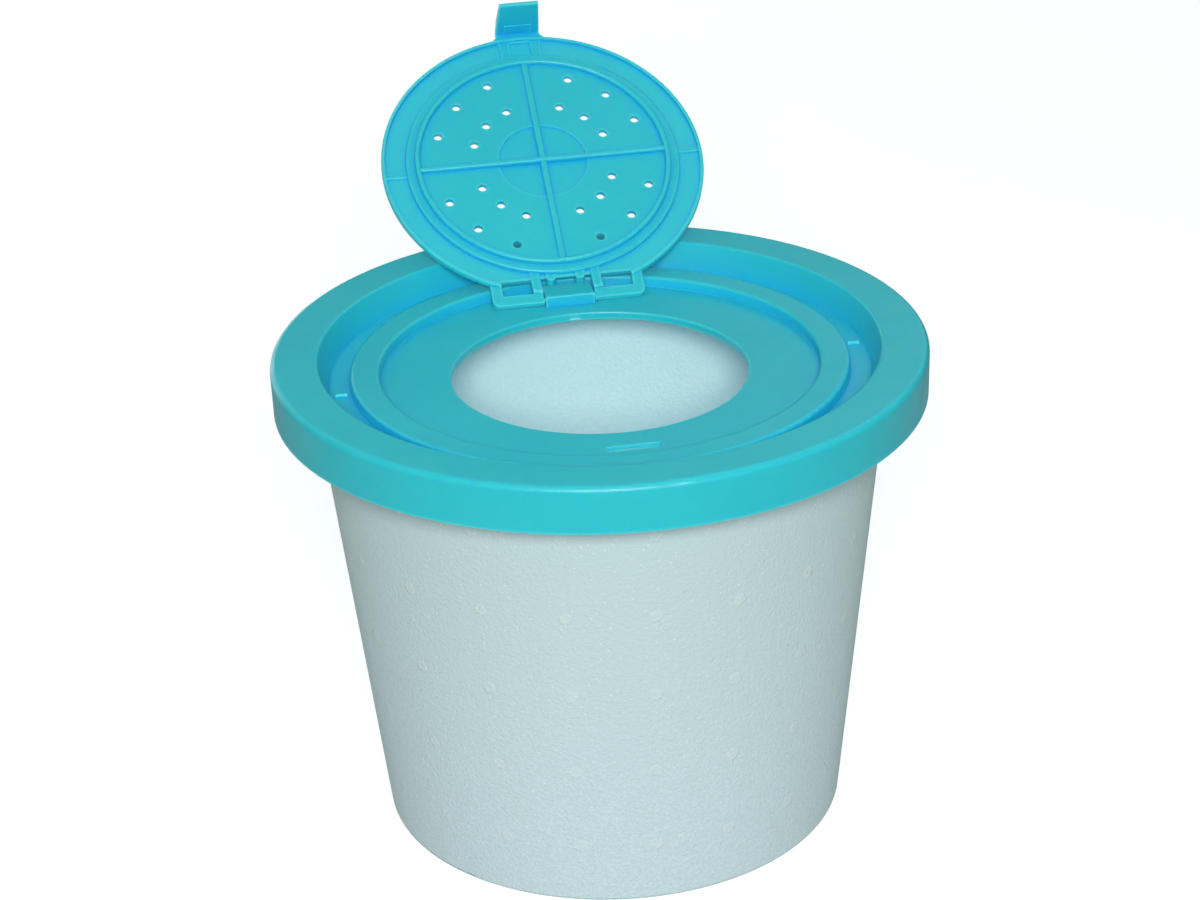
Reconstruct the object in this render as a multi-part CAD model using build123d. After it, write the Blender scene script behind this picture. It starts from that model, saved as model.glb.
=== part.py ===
"""Insulated bait bucket: a foam bucket, a moulded lid and a vented hatch.

The frame is in millimetres: +Z up, the origin on the bucket's axis at its
foot, the hatch hinge at the back (+Y) and the latch at the front (-Y).
The hatch is written as it lies when shut, then turned open about its hinge,
and open is the pose that is exported.
"""
from build123d import *
import math
import os

# Foam bucket
FOOT_R = 100.6          # outer radius at the foot
NECK_IN = 19.2          # wall where the flare starts, in from the lid's outer radius
LEDGE_Z = 200.7         # height of the inner ledge that carries the lid
FOAM_WALL = 20.0
FOAM_FLOOR = 22.0
FOOT_ROUND = 3.0
FLOOR_ROUND = 14.0
LIP_ROUND = 2.0
FLARE_DROP = 9.0        # the flare to the lip starts this far below the skirt's edge
LIP_SKIRT_STEP = 2.5    # the lip's underside stays this far above the skirt's edge

# Clearances between pieces that seat on or pass each other
SEAT_GAP = 0.3          # lid on ledge, hatch on panel, stops at their ends
LIP_GAP = 0.5           # foam lip inside the lid's channel
HOLE_FIT = 0.5          # hatch plug inside the hole
PIN_FIT = 0.08          # hinge stubs in their sockets, on the radius
SIDE_PLAY = 0.5         # hatch tabs beside the hinge block
LATCH_PLAY = 0.9        # hook in its slot, at each end

# Lid, from the hand hole outward
HOLE_R = 63.6
PANEL_WIDTH = 30.0      # flat panel between the hole and the raised ring
RING_WIDTH = 13.1
GROOVE_WIDTH = 8.6      # groove between the ring and the rim
RIM_SLOPE = 4.7         # how far the rim's inner wall leans in on the way down
RIM_WIDTH = 20.0
LID_WALL = 2.0
SKIRT_DEPTH = 20.4      # rim top to skirt edge
SKIRT_DRAFT = 0.3
RIM_RISE = 12.4         # rim top above the panel
RIM_ROUND = 2.6
RING_RISE = 4.8
RING_DRAFT = 0.5
RING_ROUND = 1.4
COLLAR_DEPTH = 3.3      # hole edge, from the panel's top down
GROOVE_RIB = 1.3        # width of the two small ribs in the groove
GROOVE_RIB_RISE = 1.4
GROOVE_RIB_INSET = 1.8  # rib's ends in from the groove's sides
GATE_WIDTH = 4.6        # sloping nick in the hole's edge, below the hinge
GATE_HEIGHT = 1.4
GATE_DEPTH = 0.7
GATE_DROP = 1.5         # its top below the panel's top
EDGE_ROUND = 0.5

# Hatch
PLATE = 2.2             # wall of the hatch
FLANGE_LAP = 10.6       # flange beyond the hole's edge
RIM_BEAD = 1.0          # depth of the bead under the flange's edge
RIM_BEAD_WIDTH = 1.7
PLUG_DROP = 1.3         # disc below the flange
PLUG_WALL = 1.4         # wall between the disc's edge and its sloping upper side
PLUG_ROUND = 0.8
RIDGE_INSET = 4.1       # ridge in from the disc's edge
RIDGE_WIDTH = 2.7
RIDGE_DEPTH = 2.1
RIDGE_ROUND = 0.95
PAD_R = 20.4            # faint round hollow in the middle
PAD_DEPTH = 0.8
FLANGE_DISH = 0.9       # hollow of the flange's underside between disc and bead
CROSS_Y_WIDTH = 3.2     # two crossed bars under the disc
CROSS_Y_DEPTH = 1.4
CROSS_X_WIDTH = 2.7
CROSS_X_DEPTH = 1.9
FLANGE_RIB_WIDTH = 3.6  # two ribs across the flange, in line with the X bar
BAR_ROUND = 1.1         # bars are nearly half-round
RIB_ROUND = 0.7
STRIP_ROUND = 0.3       # edges of the flat strips, legs, tabs and small ribs
VENT_R = 2.0
VENT_INSETS = (23.8, 6.5)  # the two vent circles, in from the ridge
VENT_ANGLES = (22.5, 45.0, 67.5)

# Hinge: tabs on the hatch, with stubs that turn in a block on the lid
OPEN_ANGLE = 147.7
HINGE_BEYOND = 2.2      # hinge line beyond the flange's edge
BLOCK_WIDTH = 22.2
BLOCK_RISE = 5.0        # block's top above the panel
BLOCK_FRONT = 2.8       # block's front face before the hinge line
BLOCK_BACK = 11.6
BLOCK_ROUND = 0.8
PIN_R = 1.1
PIN_LENGTH = 4.2
SOCKET_SPARE = 0.4      # socket beyond the stub's end
TAB_WIDTH = 23.0
TAB_ROUND = 3.5
WINDOW_WIDTH = 13.8
WINDOW_LENGTH = 7.7
WINDOW_IN = 4.2         # window's side, in from the tab's inner side
WINDOW_BEFORE = 3.4     # window's far side, before the hinge line
NOTCH_BEFORE = 12.2     # flange's edge between the tabs, before the hinge line
TAB_BORDER = 1.5        # tab's root before the window
STOP_REACH = 2.4        # stop lugs beyond that edge
STOP_WIDTH = 4.4
STOP_SPACING = 13.2

# Latch: a hook on the hatch that drops through a slot in the panel
SLOT_WIDTH = 22.4
SLOT_LENGTH = 4.4
SLOT_BEYOND = 2.4       # slot's near side beyond the flange's edge
HOOK_INSET = 0.9        # hook's face in from the slot's near side
HOOK_STEM = 2.1
HOOK_LENGTH = 18.6      # below the disc
HOOK_TAPER = 1.1        # narrower at each side of its tip
HOOK_TIP_ROUND = 1.4
BARB_LENGTH = 1.6       # barb's sloping shoulder
BARB_BELOW = 0.6        # barb's shoulder under the panel
HOOK_PAD_WIDTH = 13.0
HOOK_PAD_THICK = 0.4
HOOK_PAD_BELOW = 1.8    # pad's end below the barb's shoulder
LATCH_LEGS = (4.9, 9.8)  # sides of the two legs between the disc and the hook
LATCH_HOLLOW = 8.3      # hollow between the legs, from the disc's edge outward
SHOULDER_ROUND = 3.0

# Radii and heights that follow from the driving sizes
RING_IN_R = HOLE_R + PANEL_WIDTH
RING_OUT_R = RING_IN_R + RING_WIDTH
GROOVE_R = RING_OUT_R + GROOVE_WIDTH
RIM_IN_R = GROOVE_R + RIM_SLOPE
LID_R = RIM_IN_R + RIM_WIDTH
NECK_R = LID_R - NECK_IN
PANEL_UNDER = LEDGE_Z + SEAT_GAP
PANEL_TOP = PANEL_UNDER + LID_WALL
RIM_TOP = PANEL_TOP + RIM_RISE
RIM_UNDER = RIM_TOP - LID_WALL
SKIRT_EDGE = RIM_TOP - SKIRT_DEPTH
FLARE_Z = SKIRT_EDGE - FLARE_DROP
BLOCK_TOP = PANEL_TOP + BLOCK_RISE

FLANGE_UNDER = PANEL_TOP + SEAT_GAP + RIM_BEAD
FLANGE_TOP = FLANGE_UNDER + PLATE
DISC_UNDER = FLANGE_UNDER - PLUG_DROP
DISC_TOP = DISC_UNDER + PLATE
FLANGE_R = HOLE_R + FLANGE_LAP
PLUG_R = HOLE_R - HOLE_FIT
RIDGE_OUT_R = PLUG_R - RIDGE_INSET
RIDGE_IN_R = RIDGE_OUT_R - RIDGE_WIDTH

HINGE_Y = FLANGE_R + HINGE_BEYOND
HINGE_Z = FLANGE_UNDER + PLATE / 2
TAB_IN_X = BLOCK_WIDTH / 2 + SIDE_PLAY
# A tab's square tail may swing past the panel with the seat gap to spare.
TAB_SWEEP = HINGE_Z - PANEL_TOP - SEAT_GAP
TAB_TAIL = math.sqrt(TAB_SWEEP**2 - (PLATE / 2) ** 2)
SLOT_Y = -(FLANGE_R + SLOT_BEYOND)
HOOK_FACE_Y = SLOT_Y - HOOK_INSET


def wall_at(foot_r, top_r, z):
    """Radius of a straight tapered wall at height z."""
    return foot_r + (top_r - foot_r) * z / FLARE_Z


def turned(points, rounds):
    """Solid turned from (r, z) points; rounds maps a point's index to its radius."""
    outline = Polyline(*[(r, 0, z) for r, z in points], close=True)
    face = make_face(outline).face()
    for index, radius in rounds.items():
        r, z = points[index]
        corner = face.vertices().sort_by_distance((r, 0, z))[0]
        face = face.fillet_2d(radius, [corner])
    return revolve(face, Axis.Z)


def box_between(x0, x1, y0, y1, z0, z1):
    """Box given by its two ends along each axis."""
    centre = Location(((x0 + x1) / 2, (y0 + y1) / 2, (z0 + z1) / 2))
    return centre * Box(abs(x1 - x0), abs(y1 - y0), abs(z1 - z0))


def rim_wall_radius(z, offset=0.0):
    """Radius of the rim's sloping inner wall at height z, moved outward."""
    lean = math.hypot(RIM_SLOPE, RIM_RISE) / RIM_RISE
    return GROOVE_R + (z - PANEL_TOP) * RIM_SLOPE / RIM_RISE + offset * lean


def foam_bucket():
    """Tapered foam bucket: ledge for the lid's panel, lip inside its rim."""
    lip_out = LID_R - SKIRT_DRAFT - LID_WALL - LIP_GAP
    lip_top = RIM_UNDER - LIP_GAP
    lip_under = SKIRT_EDGE + LIP_SKIRT_STEP
    channel = LID_WALL + LIP_GAP
    bore_top = wall_at(FOOT_R, NECK_R, LEDGE_Z) - FOAM_WALL
    bore_foot = wall_at(FOOT_R, NECK_R, FOAM_FLOOR) - FOAM_WALL
    points = [
        (0, 0),
        (FOOT_R, 0),
        (NECK_R, FLARE_Z),
        (lip_out, lip_under),
        (lip_out, lip_top),
        (rim_wall_radius(lip_top, channel), lip_top),
        (rim_wall_radius(LEDGE_Z, channel), LEDGE_Z),
        (bore_top, LEDGE_Z),
        (bore_foot, FOAM_FLOOR),
        (0, FOAM_FLOOR),
    ]
    rounds = {1: FOOT_ROUND, 4: LIP_ROUND, 5: LIP_ROUND, 7: LIP_ROUND, 8: FLOOR_ROUND}
    return turned(points, rounds)


def lid_shell():
    """Lid turned in one piece: skirt, rim, groove, raised ring, panel and hole."""
    wall = LID_WALL
    ring_top = PANEL_TOP + RING_RISE
    points = [
        (LID_R - SKIRT_DRAFT, SKIRT_EDGE),
        (LID_R, RIM_TOP),
        (RIM_IN_R, RIM_TOP),
        (GROOVE_R, PANEL_TOP),
        (RING_OUT_R, PANEL_TOP),
        (RING_OUT_R - RING_DRAFT, ring_top),
        (RING_IN_R + RING_DRAFT, ring_top),
        (RING_IN_R, PANEL_TOP),
        (HOLE_R, PANEL_TOP),
        (HOLE_R, PANEL_TOP - COLLAR_DEPTH),
        (HOLE_R + wall, PANEL_TOP - COLLAR_DEPTH),
        (HOLE_R + wall, PANEL_UNDER),
        (RING_IN_R + wall, PANEL_UNDER),
        (RING_IN_R + wall + RING_DRAFT, ring_top - wall),
        (RING_OUT_R - wall - RING_DRAFT, ring_top - wall),
        (RING_OUT_R - wall, PANEL_UNDER),
        (rim_wall_radius(PANEL_UNDER, wall), PANEL_UNDER),
        (rim_wall_radius(RIM_UNDER, wall), RIM_UNDER),
        (LID_R - wall, RIM_UNDER),
        (LID_R - SKIRT_DRAFT - wall, SKIRT_EDGE),
    ]
    rounds = {
        1: RIM_ROUND,
        2: RING_ROUND,
        3: EDGE_ROUND,
        4: EDGE_ROUND,
        5: RING_ROUND,
        6: RING_ROUND,
        7: EDGE_ROUND,
        8: EDGE_ROUND,
        18: EDGE_ROUND,
    }
    return turned(points, rounds)


def groove_ribs():
    """Two small ribs on the groove's floor at the sides."""
    ribs = []
    half = GROOVE_RIB / 2
    for side in (-1, 1):
        start = side * (RING_OUT_R + GROOVE_RIB_INSET)
        end = side * (GROOVE_R - GROOVE_RIB_INSET)
        top = PANEL_TOP + GROOVE_RIB_RISE
        rib = box_between(start, end, -half, half, PANEL_UNDER + LID_WALL / 2, top)
        top_edges = rib.faces().sort_by(Axis.Z)[-1].edges()
        ribs.append(fillet(top_edges, STRIP_ROUND))
    return ribs


def gate_nick():
    """Sloping nick in the back of the hole's edge."""
    top = PANEL_TOP - GATE_DROP
    slope = Polyline(
        (-GATE_WIDTH / 2, HOLE_R - GATE_DEPTH, top),
        (-GATE_WIDTH / 2, HOLE_R + GATE_DEPTH, top),
        (-GATE_WIDTH / 2, HOLE_R - GATE_DEPTH, top - GATE_HEIGHT * 2),
        close=True,
    )
    return extrude(make_face(slope), GATE_WIDTH, dir=(1, 0, 0))


def hinge_block():
    """Block on the panel whose side sockets hold the hatch's stubs."""
    half = BLOCK_WIDTH / 2
    block = box_between(
        -half, half, HINGE_Y - BLOCK_FRONT, HINGE_Y + BLOCK_BACK, PANEL_UNDER, BLOCK_TOP
    )
    top_edges = block.faces().sort_by(Axis.Z)[-1].edges()
    block = fillet(top_edges, BLOCK_ROUND)
    for side in (-1, 1):
        depth = PIN_LENGTH - SIDE_PLAY + SOCKET_SPARE
        socket = Cylinder(PIN_R + PIN_FIT, depth, rotation=(0, 90, 0))
        block -= Location((side * (half - depth / 2), HINGE_Y, HINGE_Z)) * socket
    return block


def lid():
    """Lid with its hinge block, groove ribs, latch slot and the nick in its hole."""
    body = lid_shell() + groove_ribs() + hinge_block()
    slot = box_between(
        -SLOT_WIDTH / 2,
        SLOT_WIDTH / 2,
        SLOT_Y,
        SLOT_Y - SLOT_LENGTH,
        PANEL_UNDER - LID_WALL,
        PANEL_TOP + LID_WALL,
    )
    return body - slot - gate_nick()


def hatch_disc():
    """Round part of the hatch: flange with its bead, disc, ridge and middle hollow."""
    slant = 0.2
    floor = FLANGE_UNDER + FLANGE_DISH
    points = [
        (0, DISC_UNDER + PAD_DEPTH),
        (PAD_R - slant, DISC_UNDER + PAD_DEPTH),
        (PAD_R, DISC_UNDER),
        (RIDGE_IN_R, DISC_UNDER),
        (RIDGE_IN_R + slant, DISC_UNDER - RIDGE_DEPTH),
        (RIDGE_OUT_R - slant, DISC_UNDER - RIDGE_DEPTH),
        (RIDGE_OUT_R, DISC_UNDER),
        (PLUG_R, DISC_UNDER),
        (PLUG_R, floor),
        (FLANGE_R - RIM_BEAD_WIDTH, floor),
        (FLANGE_R - RIM_BEAD_WIDTH + slant, FLANGE_UNDER - RIM_BEAD),
        (FLANGE_R - EDGE_ROUND, FLANGE_UNDER - RIM_BEAD),
        (FLANGE_R, FLANGE_UNDER - RIM_BEAD + EDGE_ROUND),
        (FLANGE_R, FLANGE_TOP - EDGE_ROUND),
        (FLANGE_R - EDGE_ROUND, FLANGE_TOP),
        (PLUG_R - PLUG_WALL, FLANGE_TOP),
        (PLUG_R - PLUG_WALL - PLUG_DROP, DISC_TOP),
        (0, DISC_TOP),
    ]
    rounds = {4: RIDGE_ROUND, 5: RIDGE_ROUND, 7: PLUG_ROUND}
    return turned(points, rounds)


def underside_bar(x0, x1, y0, y1, under, depth, rounding):
    """Bar with its long lower edges rounded, standing out below an underside."""
    bar = box_between(x0, x1, y0, y1, under - depth, under + PLATE / 2)
    along = Axis.X if abs(x1 - x0) > abs(y1 - y0) else Axis.Y
    long_edges = bar.faces().sort_by(Axis.Z)[0].edges().filter_by(along)
    return fillet(long_edges, rounding)


def hatch_bars():
    """Crossed bars under the disc, their ends on the flange, and the latch's legs."""
    half_x = CROSS_X_WIDTH / 2
    half_y = CROSS_Y_WIDTH / 2
    reach = (RIDGE_IN_R + RIDGE_OUT_R) / 2
    bars = [
        underside_bar(-reach, reach, -half_x, half_x, DISC_UNDER, CROSS_X_DEPTH, BAR_ROUND),
        underside_bar(-half_y, half_y, -reach, reach, DISC_UNDER, CROSS_Y_DEPTH, BAR_ROUND),
    ]
    floor = FLANGE_UNDER + FLANGE_DISH
    start = PLUG_R - PLUG_WALL / 2
    end = FLANGE_R - RIM_BEAD_WIDTH / 2
    for side in (-1, 1):
        rib = FLANGE_RIB_WIDTH / 2
        near, far = LATCH_LEGS
        strip_out = TAB_IN_X + WINDOW_IN
        strip_start = math.sqrt(start**2 - strip_out**2)
        strip_end = HINGE_Y - WINDOW_BEFORE / 2
        for x0, x1, y0, y1, rounding in (
            (start, end, -rib, rib, RIB_ROUND),
            (near, far, -start, -end, STRIP_ROUND),
            (TAB_IN_X, strip_out, strip_start, strip_end, STRIP_ROUND),
        ):
            bars.append(underside_bar(side * x0, side * x1, y0, y1, floor, FLANGE_DISH, rounding))
    return bars


def vents():
    """Through holes in the disc: the same three bearings in each quarter."""
    drills = []
    for inset in VENT_INSETS:
        radius = RIDGE_IN_R - inset
        for quarter in range(4):
            for bearing in VENT_ANGLES:
                angle = math.radians(90 * quarter + bearing)
                place = Location((radius * math.cos(angle), radius * math.sin(angle), DISC_UNDER))
                drills.append(place * Cylinder(VENT_R, PLATE * 4))
    return drills


def hinge_tab(side):
    """One tab with the stub on its inner side."""
    tail_y = HINGE_Y + TAB_TAIL
    root_y = HINGE_Y - WINDOW_BEFORE - WINDOW_LENGTH - TAB_BORDER
    x0 = side * TAB_IN_X
    x1 = side * (TAB_IN_X + TAB_WIDTH)
    tab = box_between(x0, x1, root_y, tail_y, FLANGE_UNDER, FLANGE_TOP)
    outer_corner = tab.edges().filter_by(Axis.Z).sort_by_distance((x1, tail_y, HINGE_Z))[0]
    tab = fillet(outer_corner, TAB_ROUND)
    tab = fillet(tab.faces().sort_by(Axis.Z)[0].edges(), STRIP_ROUND)
    stub = Cylinder(PIN_R, PIN_LENGTH + PLATE, rotation=(0, 90, 0))
    middle = TAB_IN_X - (PIN_LENGTH - PLATE) / 2
    return tab + Location((side * middle, HINGE_Y, HINGE_Z)) * stub


def tab_window(side):
    """Opening through a tab and the flange's edge beside it."""
    window_y = HINGE_Y - WINDOW_BEFORE
    window_x = side * (TAB_IN_X + WINDOW_IN)
    return box_between(
        window_x,
        window_x + side * WINDOW_WIDTH,
        window_y - WINDOW_LENGTH,
        window_y,
        FLANGE_UNDER - PLATE,
        FLANGE_TOP + PLATE,
    )


def stop_height():
    """Lug height above the hinge line at which it meets the open block's top."""
    reach = NOTCH_BEFORE - STOP_REACH
    turn = math.radians(OPEN_ANGLE)
    rise = BLOCK_TOP + SEAT_GAP - HINGE_Z
    return (reach * math.sin(turn) - rise) / -math.cos(turn)


def stop_lugs():
    """Two half-round lugs that come to rest on the block's top."""
    edge_y = HINGE_Y - NOTCH_BEFORE
    top = HINGE_Z + stop_height()
    height = top - FLANGE_UNDER
    lugs = []
    for side in (-1, 1):
        x = side * STOP_SPACING / 2
        nose_y = edge_y + STOP_REACH - STOP_WIDTH / 2
        nose = Location((x, nose_y, FLANGE_UNDER + height / 2)) * Cylinder(STOP_WIDTH / 2, height)
        lugs.append(nose)
        half = STOP_WIDTH / 2
        lugs.append(box_between(x - half, x + half, edge_y - PLATE, nose_y, FLANGE_UNDER, top))
    return lugs


def hook_reach(z):
    """Farthest y at height z that still swings through the slot."""
    swing = HINGE_Y - SLOT_Y + SLOT_LENGTH - SEAT_GAP
    return HINGE_Y - math.sqrt(swing**2 - (HINGE_Z - z) ** 2)


def hook():
    """Latch hook: a flat stem with a small barb, rounded at its tip."""
    tip_z = DISC_UNDER - HOOK_LENGTH
    back_y = HOOK_FACE_Y - HOOK_STEM
    shoulder_z = PANEL_UNDER - BARB_BELOW
    barb_z = shoulder_z - BARB_LENGTH
    profile = Polyline(
        (0, HOOK_FACE_Y, FLANGE_TOP),
        (0, HOOK_FACE_Y, tip_z),
        (0, hook_reach(tip_z), tip_z),
        (0, hook_reach(barb_z), barb_z),
        (0, back_y, shoulder_z),
        (0, back_y, FLANGE_TOP),
        close=True,
    )
    face = make_face(profile).face()
    tip = face.vertices().sort_by_distance((0, HOOK_FACE_Y, tip_z))[0]
    face = face.fillet_2d(HOOK_TIP_ROUND, [tip])
    half = SLOT_WIDTH / 2 - LATCH_PLAY
    stem = extrude(face, half, dir=(1, 0, 0), both=True)
    for side in (-1, 1):
        side_cut = Polyline(
            (side * half, 0, DISC_UNDER),
            (side * (half - HOOK_TAPER), 0, tip_z),
            (side * (half + HOOK_TAPER), 0, tip_z),
            close=True,
        )
        wedge = extrude(make_face(side_cut), FLANGE_R * 2, dir=(0, -1, 0))
        stem -= wedge
    pad = box_between(
        -HOOK_PAD_WIDTH / 2,
        HOOK_PAD_WIDTH / 2,
        back_y,
        HOOK_FACE_Y + HOOK_PAD_THICK,
        shoulder_z - HOOK_PAD_BELOW,
        FLANGE_UNDER,
    )
    return stem + pad


def hook_bridge():
    """Flange carried out to the hook, with a rounded shoulder at each side."""
    half = SLOT_WIDTH / 2 - LATCH_PLAY
    back_y = HOOK_FACE_Y - HOOK_STEM
    root_half = half + SHOULDER_ROUND
    root_y = -math.sqrt(FLANGE_R**2 - root_half**2) + EDGE_ROUND
    inner_y = -PLUG_R - LATCH_HOLLOW
    bridge = box_between(-half, half, inner_y, back_y, FLANGE_UNDER, FLANGE_TOP)
    for side in (-1, 1):
        web = Polyline(
            (side * (half - 1), root_y, FLANGE_UNDER),
            (side * root_half, root_y, FLANGE_UNDER),
            (side * half, -FLANGE_R - SHOULDER_ROUND / 2, FLANGE_UNDER),
            (side * (half - 1), -FLANGE_R - SHOULDER_ROUND / 2, FLANGE_UNDER),
            close=True,
        )
        bridge += extrude(make_face(web), PLATE, dir=(0, 0, 1))
    return bridge


def hatch_shut():
    """Whole hatch as it lies on the panel when shut."""
    body = hatch_disc()
    notch_y = HINGE_Y - NOTCH_BEFORE
    body -= box_between(-TAB_IN_X, TAB_IN_X, notch_y, HINGE_Y, DISC_UNDER - PLATE, FLANGE_TOP + PLATE)
    body = body + hatch_bars() + stop_lugs()
    body = body + [hook_bridge(), hook(), hinge_tab(-1), hinge_tab(1)]
    return body - vents() - [tab_window(-1), tab_window(1)]


def hatch():
    """Hatch turned open about its hinge."""
    hinge = Axis((0, HINGE_Y, HINGE_Z), (1, 0, 0))
    return hatch_shut().rotate(hinge, -OPEN_ANGLE)


def main():
    os.makedirs("parts", exist_ok=True)
    pieces = {"foam_bucket": foam_bucket(), "lid": lid(), "hatch": hatch()}
    for name, shape in pieces.items():
        export_step(shape, f"parts/{name}.step")
        box = shape.bounding_box()
        print(name, len(shape.solids()), "solid(s)", round(shape.volume / 1000, 1), "cm3", box.min, box.max)


main()
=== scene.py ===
"""Insulated bait bucket: materials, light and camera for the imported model.

Everything is in metres in the row's frame: +Z up, the hinge at +Y and the
latch at -Y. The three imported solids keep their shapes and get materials
built from nodes, on a plain pale floor under soft light.
"""
import math

import bpy
from mathutils import Matrix, Vector

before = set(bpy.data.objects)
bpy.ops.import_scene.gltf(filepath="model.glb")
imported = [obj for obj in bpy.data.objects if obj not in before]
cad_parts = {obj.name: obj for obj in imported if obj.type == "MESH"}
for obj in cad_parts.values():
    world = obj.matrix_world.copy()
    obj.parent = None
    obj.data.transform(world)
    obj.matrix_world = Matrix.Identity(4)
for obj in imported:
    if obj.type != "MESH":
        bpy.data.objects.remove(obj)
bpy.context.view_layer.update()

# Camera, as fitted to the photograph (a 1200 by 900 image)
IMAGE_WIDTH = 1200
IMAGE_HEIGHT = 900
FOCAL_PX = 3245.3
CAMERA_DISTANCE = 1.4123        # along the view, to the point the camera is set by
AIM_HEIGHT = 0.140              # height of that point on the bucket's axis
AIM_PX = (604.91, 502.44)       # where that point is seen
PITCH = math.radians(25.33)     # downward
ROLL = math.radians(-2.09)
AZIMUTH = math.radians(-9.31)
SENSOR_WIDTH = 36.0
CLIP_START, CLIP_END = 0.05, 30.0

# Foam: its beads, and the round marks that the mould leaves on the outer wall
BEAD_SIZE = 0.0034
BEAD_EDGE = 0.16                # how far the seam reaches into a bead, in bead sizes
GLINT_SPACING = 0.0032
GLINT_REACH = (0.15, 0.07)      # from where a glint starts to where it is full
MARK_COLUMNS = 20
MARK_ROWS = 5
MARK_FIRST_HEIGHT = 0.0295
MARK_ROW_STEP = 0.0384
MARK_RADIUS = 0.0029
DISC_EDGE = (1.1, 0.7)          # in mark radii, from outside the disc to full
RING_EDGE = (0.35, 0.75)        # in mark radii, from inside the ring to full
FOOT_RADIUS = 0.1006
WALL_LEAN = 0.1086              # outer wall's radius gained per height
WALL_SKIN = 0.006               # what lies deeper than this in the wall is its inside

FOAM_COLOUR = (0.725, 0.895, 0.96)
# darker tone for random mottling, also used as painted shade toward the top of the outer wall
FOAM_MOTTLE_AND_PAINTED_SHADE = (0.61, 0.78, 0.80)
FOAM_SEAM = (0.60, 0.77, 0.82)
# painted light: a brighter, bluer copy of the foam colour for the inside wall
FOAM_INSIDE_PAINTED_LIGHT = (0.72, 0.945, 0.965)
FOAM_PAINTED_GLINT = (0.97, 1.0, 1.0)
FOAM_DISC = (0.90, 1.0, 1.0)
FOAM_RING = (0.92, 1.0, 1.0)
FOAM_PAINTED_GLOW_COLOUR = (0.05, 0.60, 1.0, 1.0)
FOAM_PAINTED_GLOW = 0.03             # painted glow on the inside wall, standing in for light that the foam lets through
PAINTED_SHADE_HEIGHT = 0.20             # painted shade: the outer wall darkens upward toward the lid and is fully in the darker tone from here up
# How much of each tone shows, from 0 to 1
BEAD_TONE = 0.12
PATCH_TONE = 0.10
SEAM_TONE = 0.07
SPECKLE_TONE = (0.2, 0.6)       # on the inside, and on the outer wall
PAINTED_GLINT_TONE = 0.7
DISC_TONE = 0.12
RING_TONE = 0.45
FOAM_ROUGHNESS = 0.62
FOAM_GLOSS = 0.35
FOAM_SOFTNESS = 0.2
GLINT_SHINE = 0.25              # how much smoother a glint is

# Plastic
PLASTIC_COLOUR = (0.024, 0.64, 0.75)
PLASTIC_LIGHT = (0.030, 0.67, 0.77)
PLASTIC_SCUFF = (0.16, 0.62, 0.70)
PLASTIC_PAINTED_HOLLOW_SHADE = (0.015, 0.56, 0.85)    # painted shade: bluer in wide hollows
PLASTIC_PAINTED_CREASE_SHADE = (0.005, 0.44, 0.92)    # painted shade: deeper blue in tight corners
PLASTIC_PAINTED_EDGE_HIGHLIGHT = (0.12, 0.88, 0.93)       # painted highlight: paler along raised edges
SCUFF_TONE = 0.12
SCUFF_ROUGHNESS = 0.1                   # added where the plastic is scuffed
PLASTIC_ROUGHNESS = (0.34, 0.42)        # smoothest and roughest
PLASTIC_DEPTH = (0.0002, 0.0012, 0.0035)    # how far each colour travels inside
PLASTIC_DEPTH_SHARE = 0.5
# Painted shade and painted highlight: how far each looks around, and how open a face is where
# the tone starts and is full
HOLLOW = (0.022, 0.9, 0.5)
CREASE = (0.0028, 0.95, 0.45)
EDGE = (0.0014, 0.95, 0.35)
PAINTED_CREASE_TONE = 0.6
REACH_SAMPLES = 4

# Noise patterns: scale per metre, detail, roughness, and where they start and are full
FOAM_PATCHES = (9.0, 3.0, 0.5, 0.35, 0.65)
FOAM_SPECKLES = (800.0, 3.0, 0.5, 0.35, 0.65)
RING_BREAKS = (1000.0, 2.0, 0.5, 0.47, 0.60)
PLASTIC_FLOW = (14.0, 4.0, 0.6, 0.3, 0.7)
PLASTIC_SCUFFS = (240.0, 3.0, 0.7, 0.62, 0.72)
PLASTIC_CLOUDS = (60.0, 3.0, 0.5, 0.3, 0.7)

# Bumps: distance and strength, and for those of noise its scale and detail
SEAM_BUMP = (0.00006, 0.5)
MARK_BUMP = (0.00030, 0.5)
FOAM_GRAIN, FOAM_GRAIN_BUMP = (700.0, 3.0), (0.0006, 0.8)
PLASTIC_WAVES, PLASTIC_WAVES_BUMP = (45.0, 2.0), (0.00025, 0.35)
PLASTIC_GRAIN, PLASTIC_GRAIN_BUMP = (1600.0, 2.0), (0.00006, 0.35)

# Floor and light
FLOOR_SIZE = 12.0
FLOOR_COLOUR = (0.88, 0.89, 0.90)
FLOOR_DARKER = 0.99             # its darker patches, as a share of the colour
FLOOR_PATCHES = 3.0
FLOOR_ROUGHNESS = 0.8
FLOOR_GLOW = 0.55
FLOOR_GLOW_COLOUR = (0.97, 0.98, 1.0, 1.0)
WORLD_COLOUR = (0.92, 0.985, 0.965, 1.0)
HORIZON_LIGHT = 0.10
# Direction's height where the light is full, and the light there
OVERHEAD = (0.95, 0.365)
BELOW = (-0.6, 0.5)
WORLD_START = 0.1               # share of that height where the light begins to change
WARM, COOL = (1.0, 0.99, 0.97), (0.94, 0.97, 1.0)
# Name, place, height of the point it faces, width, power, colour
AREA_LIGHTS = (
    ("front", (-0.27, -1.75, 1.12), 0.12, 0.6, 27.5, WARM),
    ("back_fill", (0.9, 1.5, 1.3), 0.12, 1.2, 2.0, COOL),
    ("low_fill", (-0.75, 1.95, 0.26), 0.10, 1.4, 9.5, COOL),
)


def colour(value):
    if isinstance(value, bpy.types.NodeSocket) or len(value) == 4:
        return value
    return (*value, 1.0)


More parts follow.
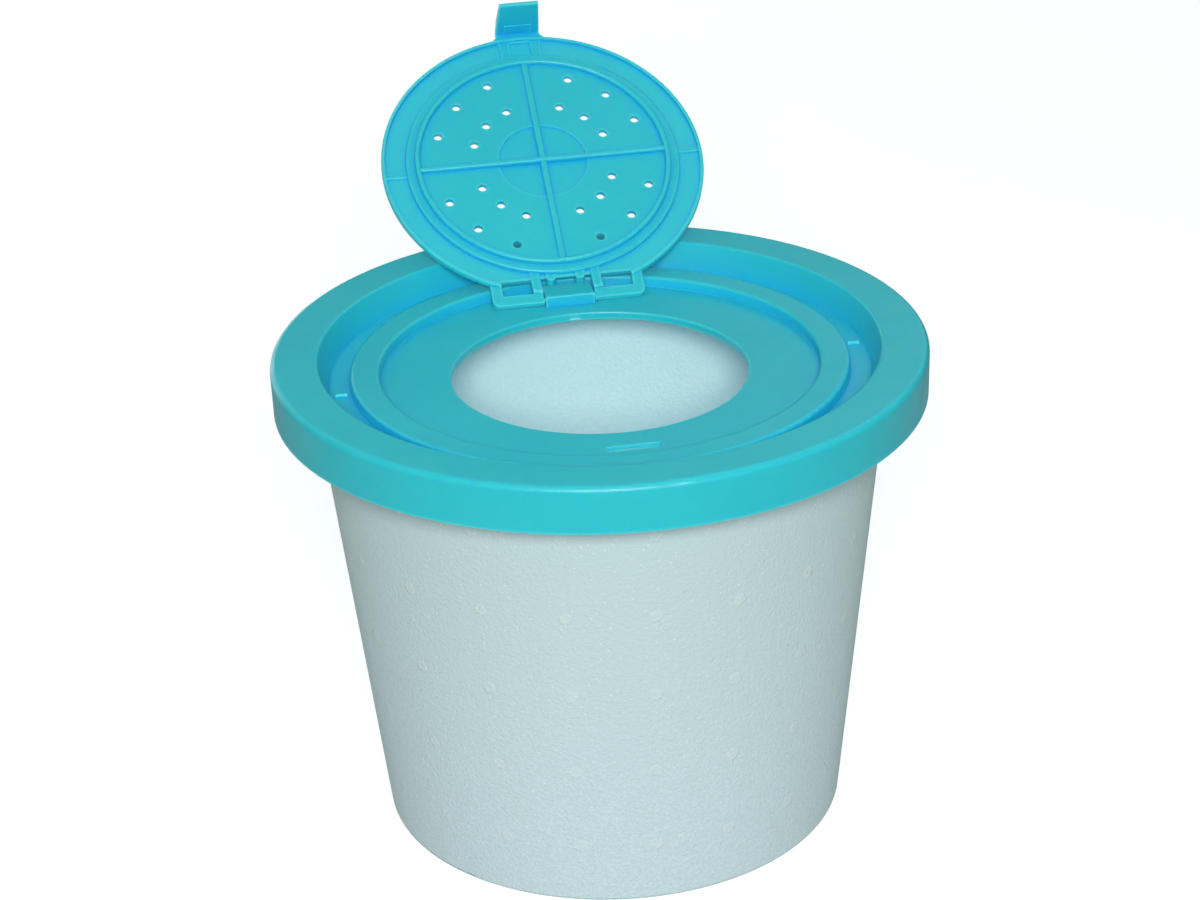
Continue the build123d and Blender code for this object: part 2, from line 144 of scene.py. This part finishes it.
class Graph:
    """A material's node tree, with short calls for the nodes used here."""

    def __init__(self, name):
        self.material = bpy.data.materials.new(name)
        self.material.use_nodes = True
        self.tree = self.material.node_tree
        self.shader = self.tree.nodes["Principled BSDF"]
        self.place = self.node("ShaderNodeTexCoord").outputs["Object"]

    def node(self, kind, settings=None, **inputs):
        made = self.tree.nodes.new(kind)
        for key, value in (settings or {}).items():
            setattr(made, key, value)
        for key, value in inputs.items():
            self.feed(made.inputs[key], value)
        return made

    def feed(self, socket, value):
        if isinstance(value, bpy.types.NodeSocket):
            self.tree.links.new(value, socket)
        else:
            socket.default_value = value

    def shade(self, name, value):
        """Sets or links one of the shader's own sockets."""
        self.feed(self.shader.inputs[name], value)

    def math(self, operation, *values):
        made = self.node("ShaderNodeMath", {"operation": operation})
        for socket, value in zip(made.inputs, values):
            self.feed(socket, value)
        return made.outputs[0]

    def times(self, first, second):
        return self.math("MULTIPLY", first, second)

    def length(self, first, second):
        """Length of a line that runs first one way and second at right angles."""
        squares = self.math("ADD", self.times(first, first), self.times(second, second))
        return self.math("SQRT", squares)

    def fade(self, value, start, end, low=0.0, high=1.0):
        """Smooth step of value from start to end."""
        made = self.node("ShaderNodeMapRange", {"interpolation_type": "SMOOTHSTEP"})
        keys = ("Value", "From Min", "From Max", "To Min", "To Max")
        for key, number in zip(keys, (value, start, end, low, high)):
            self.feed(made.inputs[key], number)
        return made.outputs["Result"]

    def noise(self, scale, detail=2.0, roughness=0.5):
        made = self.node("ShaderNodeTexNoise", Vector=self.place, Scale=scale,
                         Detail=detail, Roughness=roughness)
        return made.outputs["Fac"]

    def pattern(self, scale, detail, roughness, start, end, low=0.0, high=1.0):
        """Noise that fades from low at start to high at end."""
        return self.fade(self.noise(scale, detail, roughness), start, end, low, high)

    def cells(self, feature, spacing):
        return self.node("ShaderNodeTexVoronoi", {"feature": feature},
                         Vector=self.place, Scale=1 / spacing)

    def mix(self, factor, first, second):
        made = self.node("ShaderNodeMix", {"data_type": "RGBA"})
        self.feed(made.inputs["Factor"], factor)
        self.feed(made.inputs["A"], colour(first))
        self.feed(made.inputs["B"], colour(second))
        return made.outputs["Result"]

    def layers(self, body, *tones):
        """Lays each (factor, tone) over body and the tones before it."""
        for factor, tone in tones:
            body = self.mix(factor, body, tone)
        return body

    def closed(self, reach, start, end, full=1.0, raised=False):
        """Mask for painted shade: 0 on open faces, full in corners; raised looks for raised
        edges instead, for painted highlight.
        """
        settings = {"samples": REACH_SAMPLES, "inside": raised, "only_local": True}
        open_share = self.node("ShaderNodeAmbientOcclusion", settings, Distance=reach)
        return self.fade(open_share.outputs["AO"], start, end, 0.0, full)

    def bump(self, height, shape, under=None):
        distance, strength = shape
        made = self.node("ShaderNodeBump", Height=height, Distance=distance, Strength=strength)
        if under is not None:
            self.feed(made.inputs["Normal"], under)
        return made.outputs["Normal"]

    def axes(self):
        split = self.node("ShaderNodeSeparateXYZ", Vector=self.place)
        return split.outputs["X"], split.outputs["Y"], split.outputs["Z"]


def mould_marks(graph):
    """Round marks in rows on the outer wall: their discs, broken rings, and the wall itself."""
    x, y, z = graph.axes()
    radius = graph.length(x, y)
    step = 2 * math.pi / MARK_COLUMNS
    column = graph.math("DIVIDE", graph.math("ARCTAN2", x, y), step)
    column_off = graph.math("SUBTRACT", column, graph.math("ROUND", column))
    across = graph.times(graph.times(column_off, step), radius)
    row = graph.math("DIVIDE", graph.math("SUBTRACT", z, MARK_FIRST_HEIGHT), MARK_ROW_STEP)
    not_below = graph.math("MAXIMUM", graph.math("ROUND", row), 0.0)
    nearest = graph.math("MINIMUM", not_below, MARK_ROWS - 1.0)
    along = graph.times(graph.math("SUBTRACT", row, nearest), MARK_ROW_STEP)
    distance = graph.length(across, along)
    disc = graph.fade(distance, *(MARK_RADIUS * share for share in DISC_EDGE))
    rim = graph.fade(distance, *(MARK_RADIUS * share for share in RING_EDGE))
    ring = graph.times(graph.times(disc, rim), graph.pattern(*RING_BREAKS))
    foot_radius = graph.math("SUBTRACT", radius, graph.times(z, WALL_LEAN))
    outer = graph.math("GREATER_THAN", foot_radius, FOOT_RADIUS - WALL_SKIN)
    return graph.times(disc, outer), graph.times(ring, outer), outer


def foam_material():
    """Moulded bead foam: faint beads, fine grain, tiny painted glints and soft mould marks,
    with painted shade toward the top of the outer wall and a brighter painted light and painted
    glow on the inside.
    """
    graph = Graph("bead_foam")
    seams = graph.cells("DISTANCE_TO_EDGE", BEAD_SIZE).outputs["Distance"]
    bead_colour = graph.cells("F1", BEAD_SIZE).outputs["Color"]
    specks = graph.cells("F1", GLINT_SPACING).outputs["Distance"]
    bead = graph.fade(seams, 0.0, BEAD_EDGE)
    tint = graph.node("ShaderNodeSeparateColor", Color=bead_colour).outputs["Red"]
    glints = graph.fade(specks, *GLINT_REACH)
    discs, rings, outer = mould_marks(graph)
    height = graph.axes()[2]

    body = graph.layers(
        FOAM_COLOUR,
        (graph.times(tint, BEAD_TONE), FOAM_MOTTLE_AND_PAINTED_SHADE),
        (graph.times(graph.pattern(*FOAM_PATCHES), PATCH_TONE), FOAM_MOTTLE_AND_PAINTED_SHADE),
        # painted shade: the outer wall darker toward the top, under the lid
        (graph.fade(height, 0.0, PAINTED_SHADE_HEIGHT), FOAM_MOTTLE_AND_PAINTED_SHADE),
        (graph.fade(bead, 0.0, 1.0, SEAM_TONE, 0.0), FOAM_SEAM),
    )
    speckled = graph.fade(outer, 0.0, 1.0, *SPECKLE_TONE)
    body = graph.layers(
        # the inside wall takes the brighter painted-light copy of the foam colour
        graph.mix(outer, FOAM_INSIDE_PAINTED_LIGHT, body),
        (graph.times(graph.pattern(*FOAM_SPECKLES), speckled), FOAM_MOTTLE_AND_PAINTED_SHADE),
        # painted highlight: tiny pale glints laid into the colour; the same spots are also
        # smoother below
        (graph.times(glints, PAINTED_GLINT_TONE), FOAM_PAINTED_GLINT),
        (graph.times(discs, DISC_TONE), FOAM_DISC),
        (graph.times(rings, RING_TONE), FOAM_RING),
    )
    graph.shade("Base Color", body)

    rough = graph.math("SUBTRACT", FOAM_ROUGHNESS, graph.times(glints, GLINT_SHINE))
    graph.shade("Roughness", rough)
    packed = graph.bump(bead, SEAM_BUMP)
    pressed = graph.bump(graph.math("ADD", discs, rings), MARK_BUMP, packed)
    graph.shade("Normal", graph.bump(graph.noise(*FOAM_GRAIN), FOAM_GRAIN_BUMP, pressed))
    graph.shade("Specular IOR Level", FOAM_GLOSS)
    graph.shade("Diffuse Roughness", FOAM_SOFTNESS)
    # painted glow: the inside wall emits light, standing in for light let through the foam
    graph.shade("Emission Color", FOAM_PAINTED_GLOW_COLOUR)
    inside = graph.math("SUBTRACT", 1.0, outer)
    graph.shade("Emission Strength", graph.times(inside, FOAM_PAINTED_GLOW))
    return graph.material


def plastic_material(name):
    """Satin moulded plastic: flow marks, fine grain, scuffs, painted blue shade in creases,
    painted highlight on edges.
    """
    graph = Graph(name)
    scuffs = graph.pattern(*PLASTIC_SCUFFS)
    body = graph.layers(
        PLASTIC_COLOUR,
        (graph.pattern(*PLASTIC_FLOW), PLASTIC_LIGHT),
        (graph.times(scuffs, SCUFF_TONE), PLASTIC_SCUFF),
        # painted shade in wide hollows and tight creases, painted highlight along raised edges
        (graph.closed(*HOLLOW), PLASTIC_PAINTED_HOLLOW_SHADE),
        (graph.closed(*CREASE, full=PAINTED_CREASE_TONE), PLASTIC_PAINTED_CREASE_SHADE),
        (graph.closed(*EDGE, raised=True), PLASTIC_PAINTED_EDGE_HIGHLIGHT),
    )
    graph.shade("Base Color", body)

    clouds = graph.pattern(*PLASTIC_CLOUDS, *PLASTIC_ROUGHNESS)
    graph.shade("Roughness", graph.math("ADD", clouds, graph.times(scuffs, SCUFF_ROUGHNESS)))
    waves = graph.bump(graph.noise(*PLASTIC_WAVES), PLASTIC_WAVES_BUMP)
    graph.shade("Normal", graph.bump(graph.noise(*PLASTIC_GRAIN), PLASTIC_GRAIN_BUMP, waves))
    graph.shade("Subsurface Weight", PLASTIC_DEPTH_SHARE)
    graph.shade("Subsurface Radius", PLASTIC_DEPTH)
    graph.shade("Subsurface Scale", 1.0)
    return graph.material


def dress(node, material):
    """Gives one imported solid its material."""
    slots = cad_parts[node].data.materials
    slots.clear()
    slots.append(material)


def add_floor():
    """Plain pale floor. Its bounce is off, because it lit the skirt from below too much."""
    bpy.ops.mesh.primitive_plane_add(size=FLOOR_SIZE, location=(0, 0, 0))
    floor = bpy.context.object
    floor.name = "floor"
    graph = Graph("pale_floor")
    darker = tuple(part * FLOOR_DARKER for part in FLOOR_COLOUR)
    graph.shade("Base Color", graph.mix(graph.noise(FLOOR_PATCHES), FLOOR_COLOUR, darker))
    graph.shade("Roughness", FLOOR_ROUGHNESS)
    graph.shade("Emission Color", FLOOR_GLOW_COLOUR)
    graph.shade("Emission Strength", FLOOR_GLOW)
    floor.data.materials.append(graph.material)
    floor.visible_diffuse = False
    floor.visible_glossy = False


def camera_axes():
    """Camera's right, up and forward directions in the row's frame."""
    forward = Vector((0, math.cos(PITCH), -math.sin(PITCH)))
    level = Vector((1, 0, 0))
    upright = level.cross(forward)
    right = math.cos(ROLL) * level + math.sin(ROLL) * upright
    up = math.cos(ROLL) * upright - math.sin(ROLL) * level
    turn = Matrix.Rotation(AZIMUTH, 3, "Z")
    return turn @ right, turn @ up, turn @ forward


def add_camera():
    right, up, forward = camera_axes()
    aim = Vector((0, 0, AIM_HEIGHT))
    across = (AIM_PX[0] - IMAGE_WIDTH / 2) / FOCAL_PX
    above = (IMAGE_HEIGHT / 2 - AIM_PX[1]) / FOCAL_PX
    place = aim - CAMERA_DISTANCE * (forward + across * right + above * up)
    data = bpy.data.cameras.new("camera")
    data.sensor_fit = "HORIZONTAL"
    data.sensor_width = SENSOR_WIDTH
    data.lens = FOCAL_PX / IMAGE_WIDTH * SENSOR_WIDTH
    data.clip_start = CLIP_START
    data.clip_end = CLIP_END
    camera = bpy.data.objects.new("camera", data)
    turn = Matrix((right, up, -forward)).transposed().to_4x4()
    camera.matrix_world = Matrix.Translation(place) @ turn
    bpy.context.scene.collection.objects.link(camera)
    bpy.context.scene.camera = camera


def add_area(name, place, aim_height, size, power, tint):
    """Round soft light that faces a point on the bucket's axis."""
    data = bpy.data.lights.new(name, "AREA")
    data.shape = "DISK"
    data.size = size
    data.energy = power
    data.color = tint
    light = bpy.data.objects.new(name, data)
    light.location = place
    towards = Vector((0, 0, aim_height)) - Vector(place)
    light.rotation_euler = towards.to_track_quat("-Z", "Y").to_euler()
    bpy.context.scene.collection.objects.link(light)


def add_world():
    """Soft surround: dim at the horizon, brighter overhead and from the floor's side."""
    world = bpy.data.worlds.new("studio")
    world.use_nodes = True
    tree = world.node_tree
    coords = tree.nodes.new("ShaderNodeTexCoord")
    split = tree.nodes.new("ShaderNodeSeparateXYZ")
    tree.links.new(coords.outputs["Generated"], split.inputs[0])
    total = tree.nodes.new("ShaderNodeMath")
    for socket, (end, level) in zip(total.inputs, (OVERHEAD, BELOW)):
        ramp = tree.nodes.new("ShaderNodeMapRange")
        ramp.interpolation_type = "SMOOTHSTEP"
        ramp.inputs["From Min"].default_value = end * WORLD_START
        ramp.inputs["From Max"].default_value = end
        ramp.inputs["To Min"].default_value = HORIZON_LIGHT / 2
        ramp.inputs["To Max"].default_value = level
        tree.links.new(split.outputs["Z"], ramp.inputs["Value"])
        tree.links.new(ramp.outputs["Result"], socket)
    background = tree.nodes["Background"]
    background.inputs["Color"].default_value = WORLD_COLOUR
    tree.links.new(total.outputs[0], background.inputs["Strength"])
    bpy.context.scene.world = world


def add_light():
    for settings in AREA_LIGHTS:
        add_area(*settings)
    add_world()
    view = bpy.context.scene.view_settings
    view.view_transform = "Standard"
    view.look = "None"


dress("foam_bucket", foam_material())
dress("lid", plastic_material("lid_plastic"))
dress("hatch", plastic_material("hatch_plastic"))
add_floor()
add_camera()
add_light()
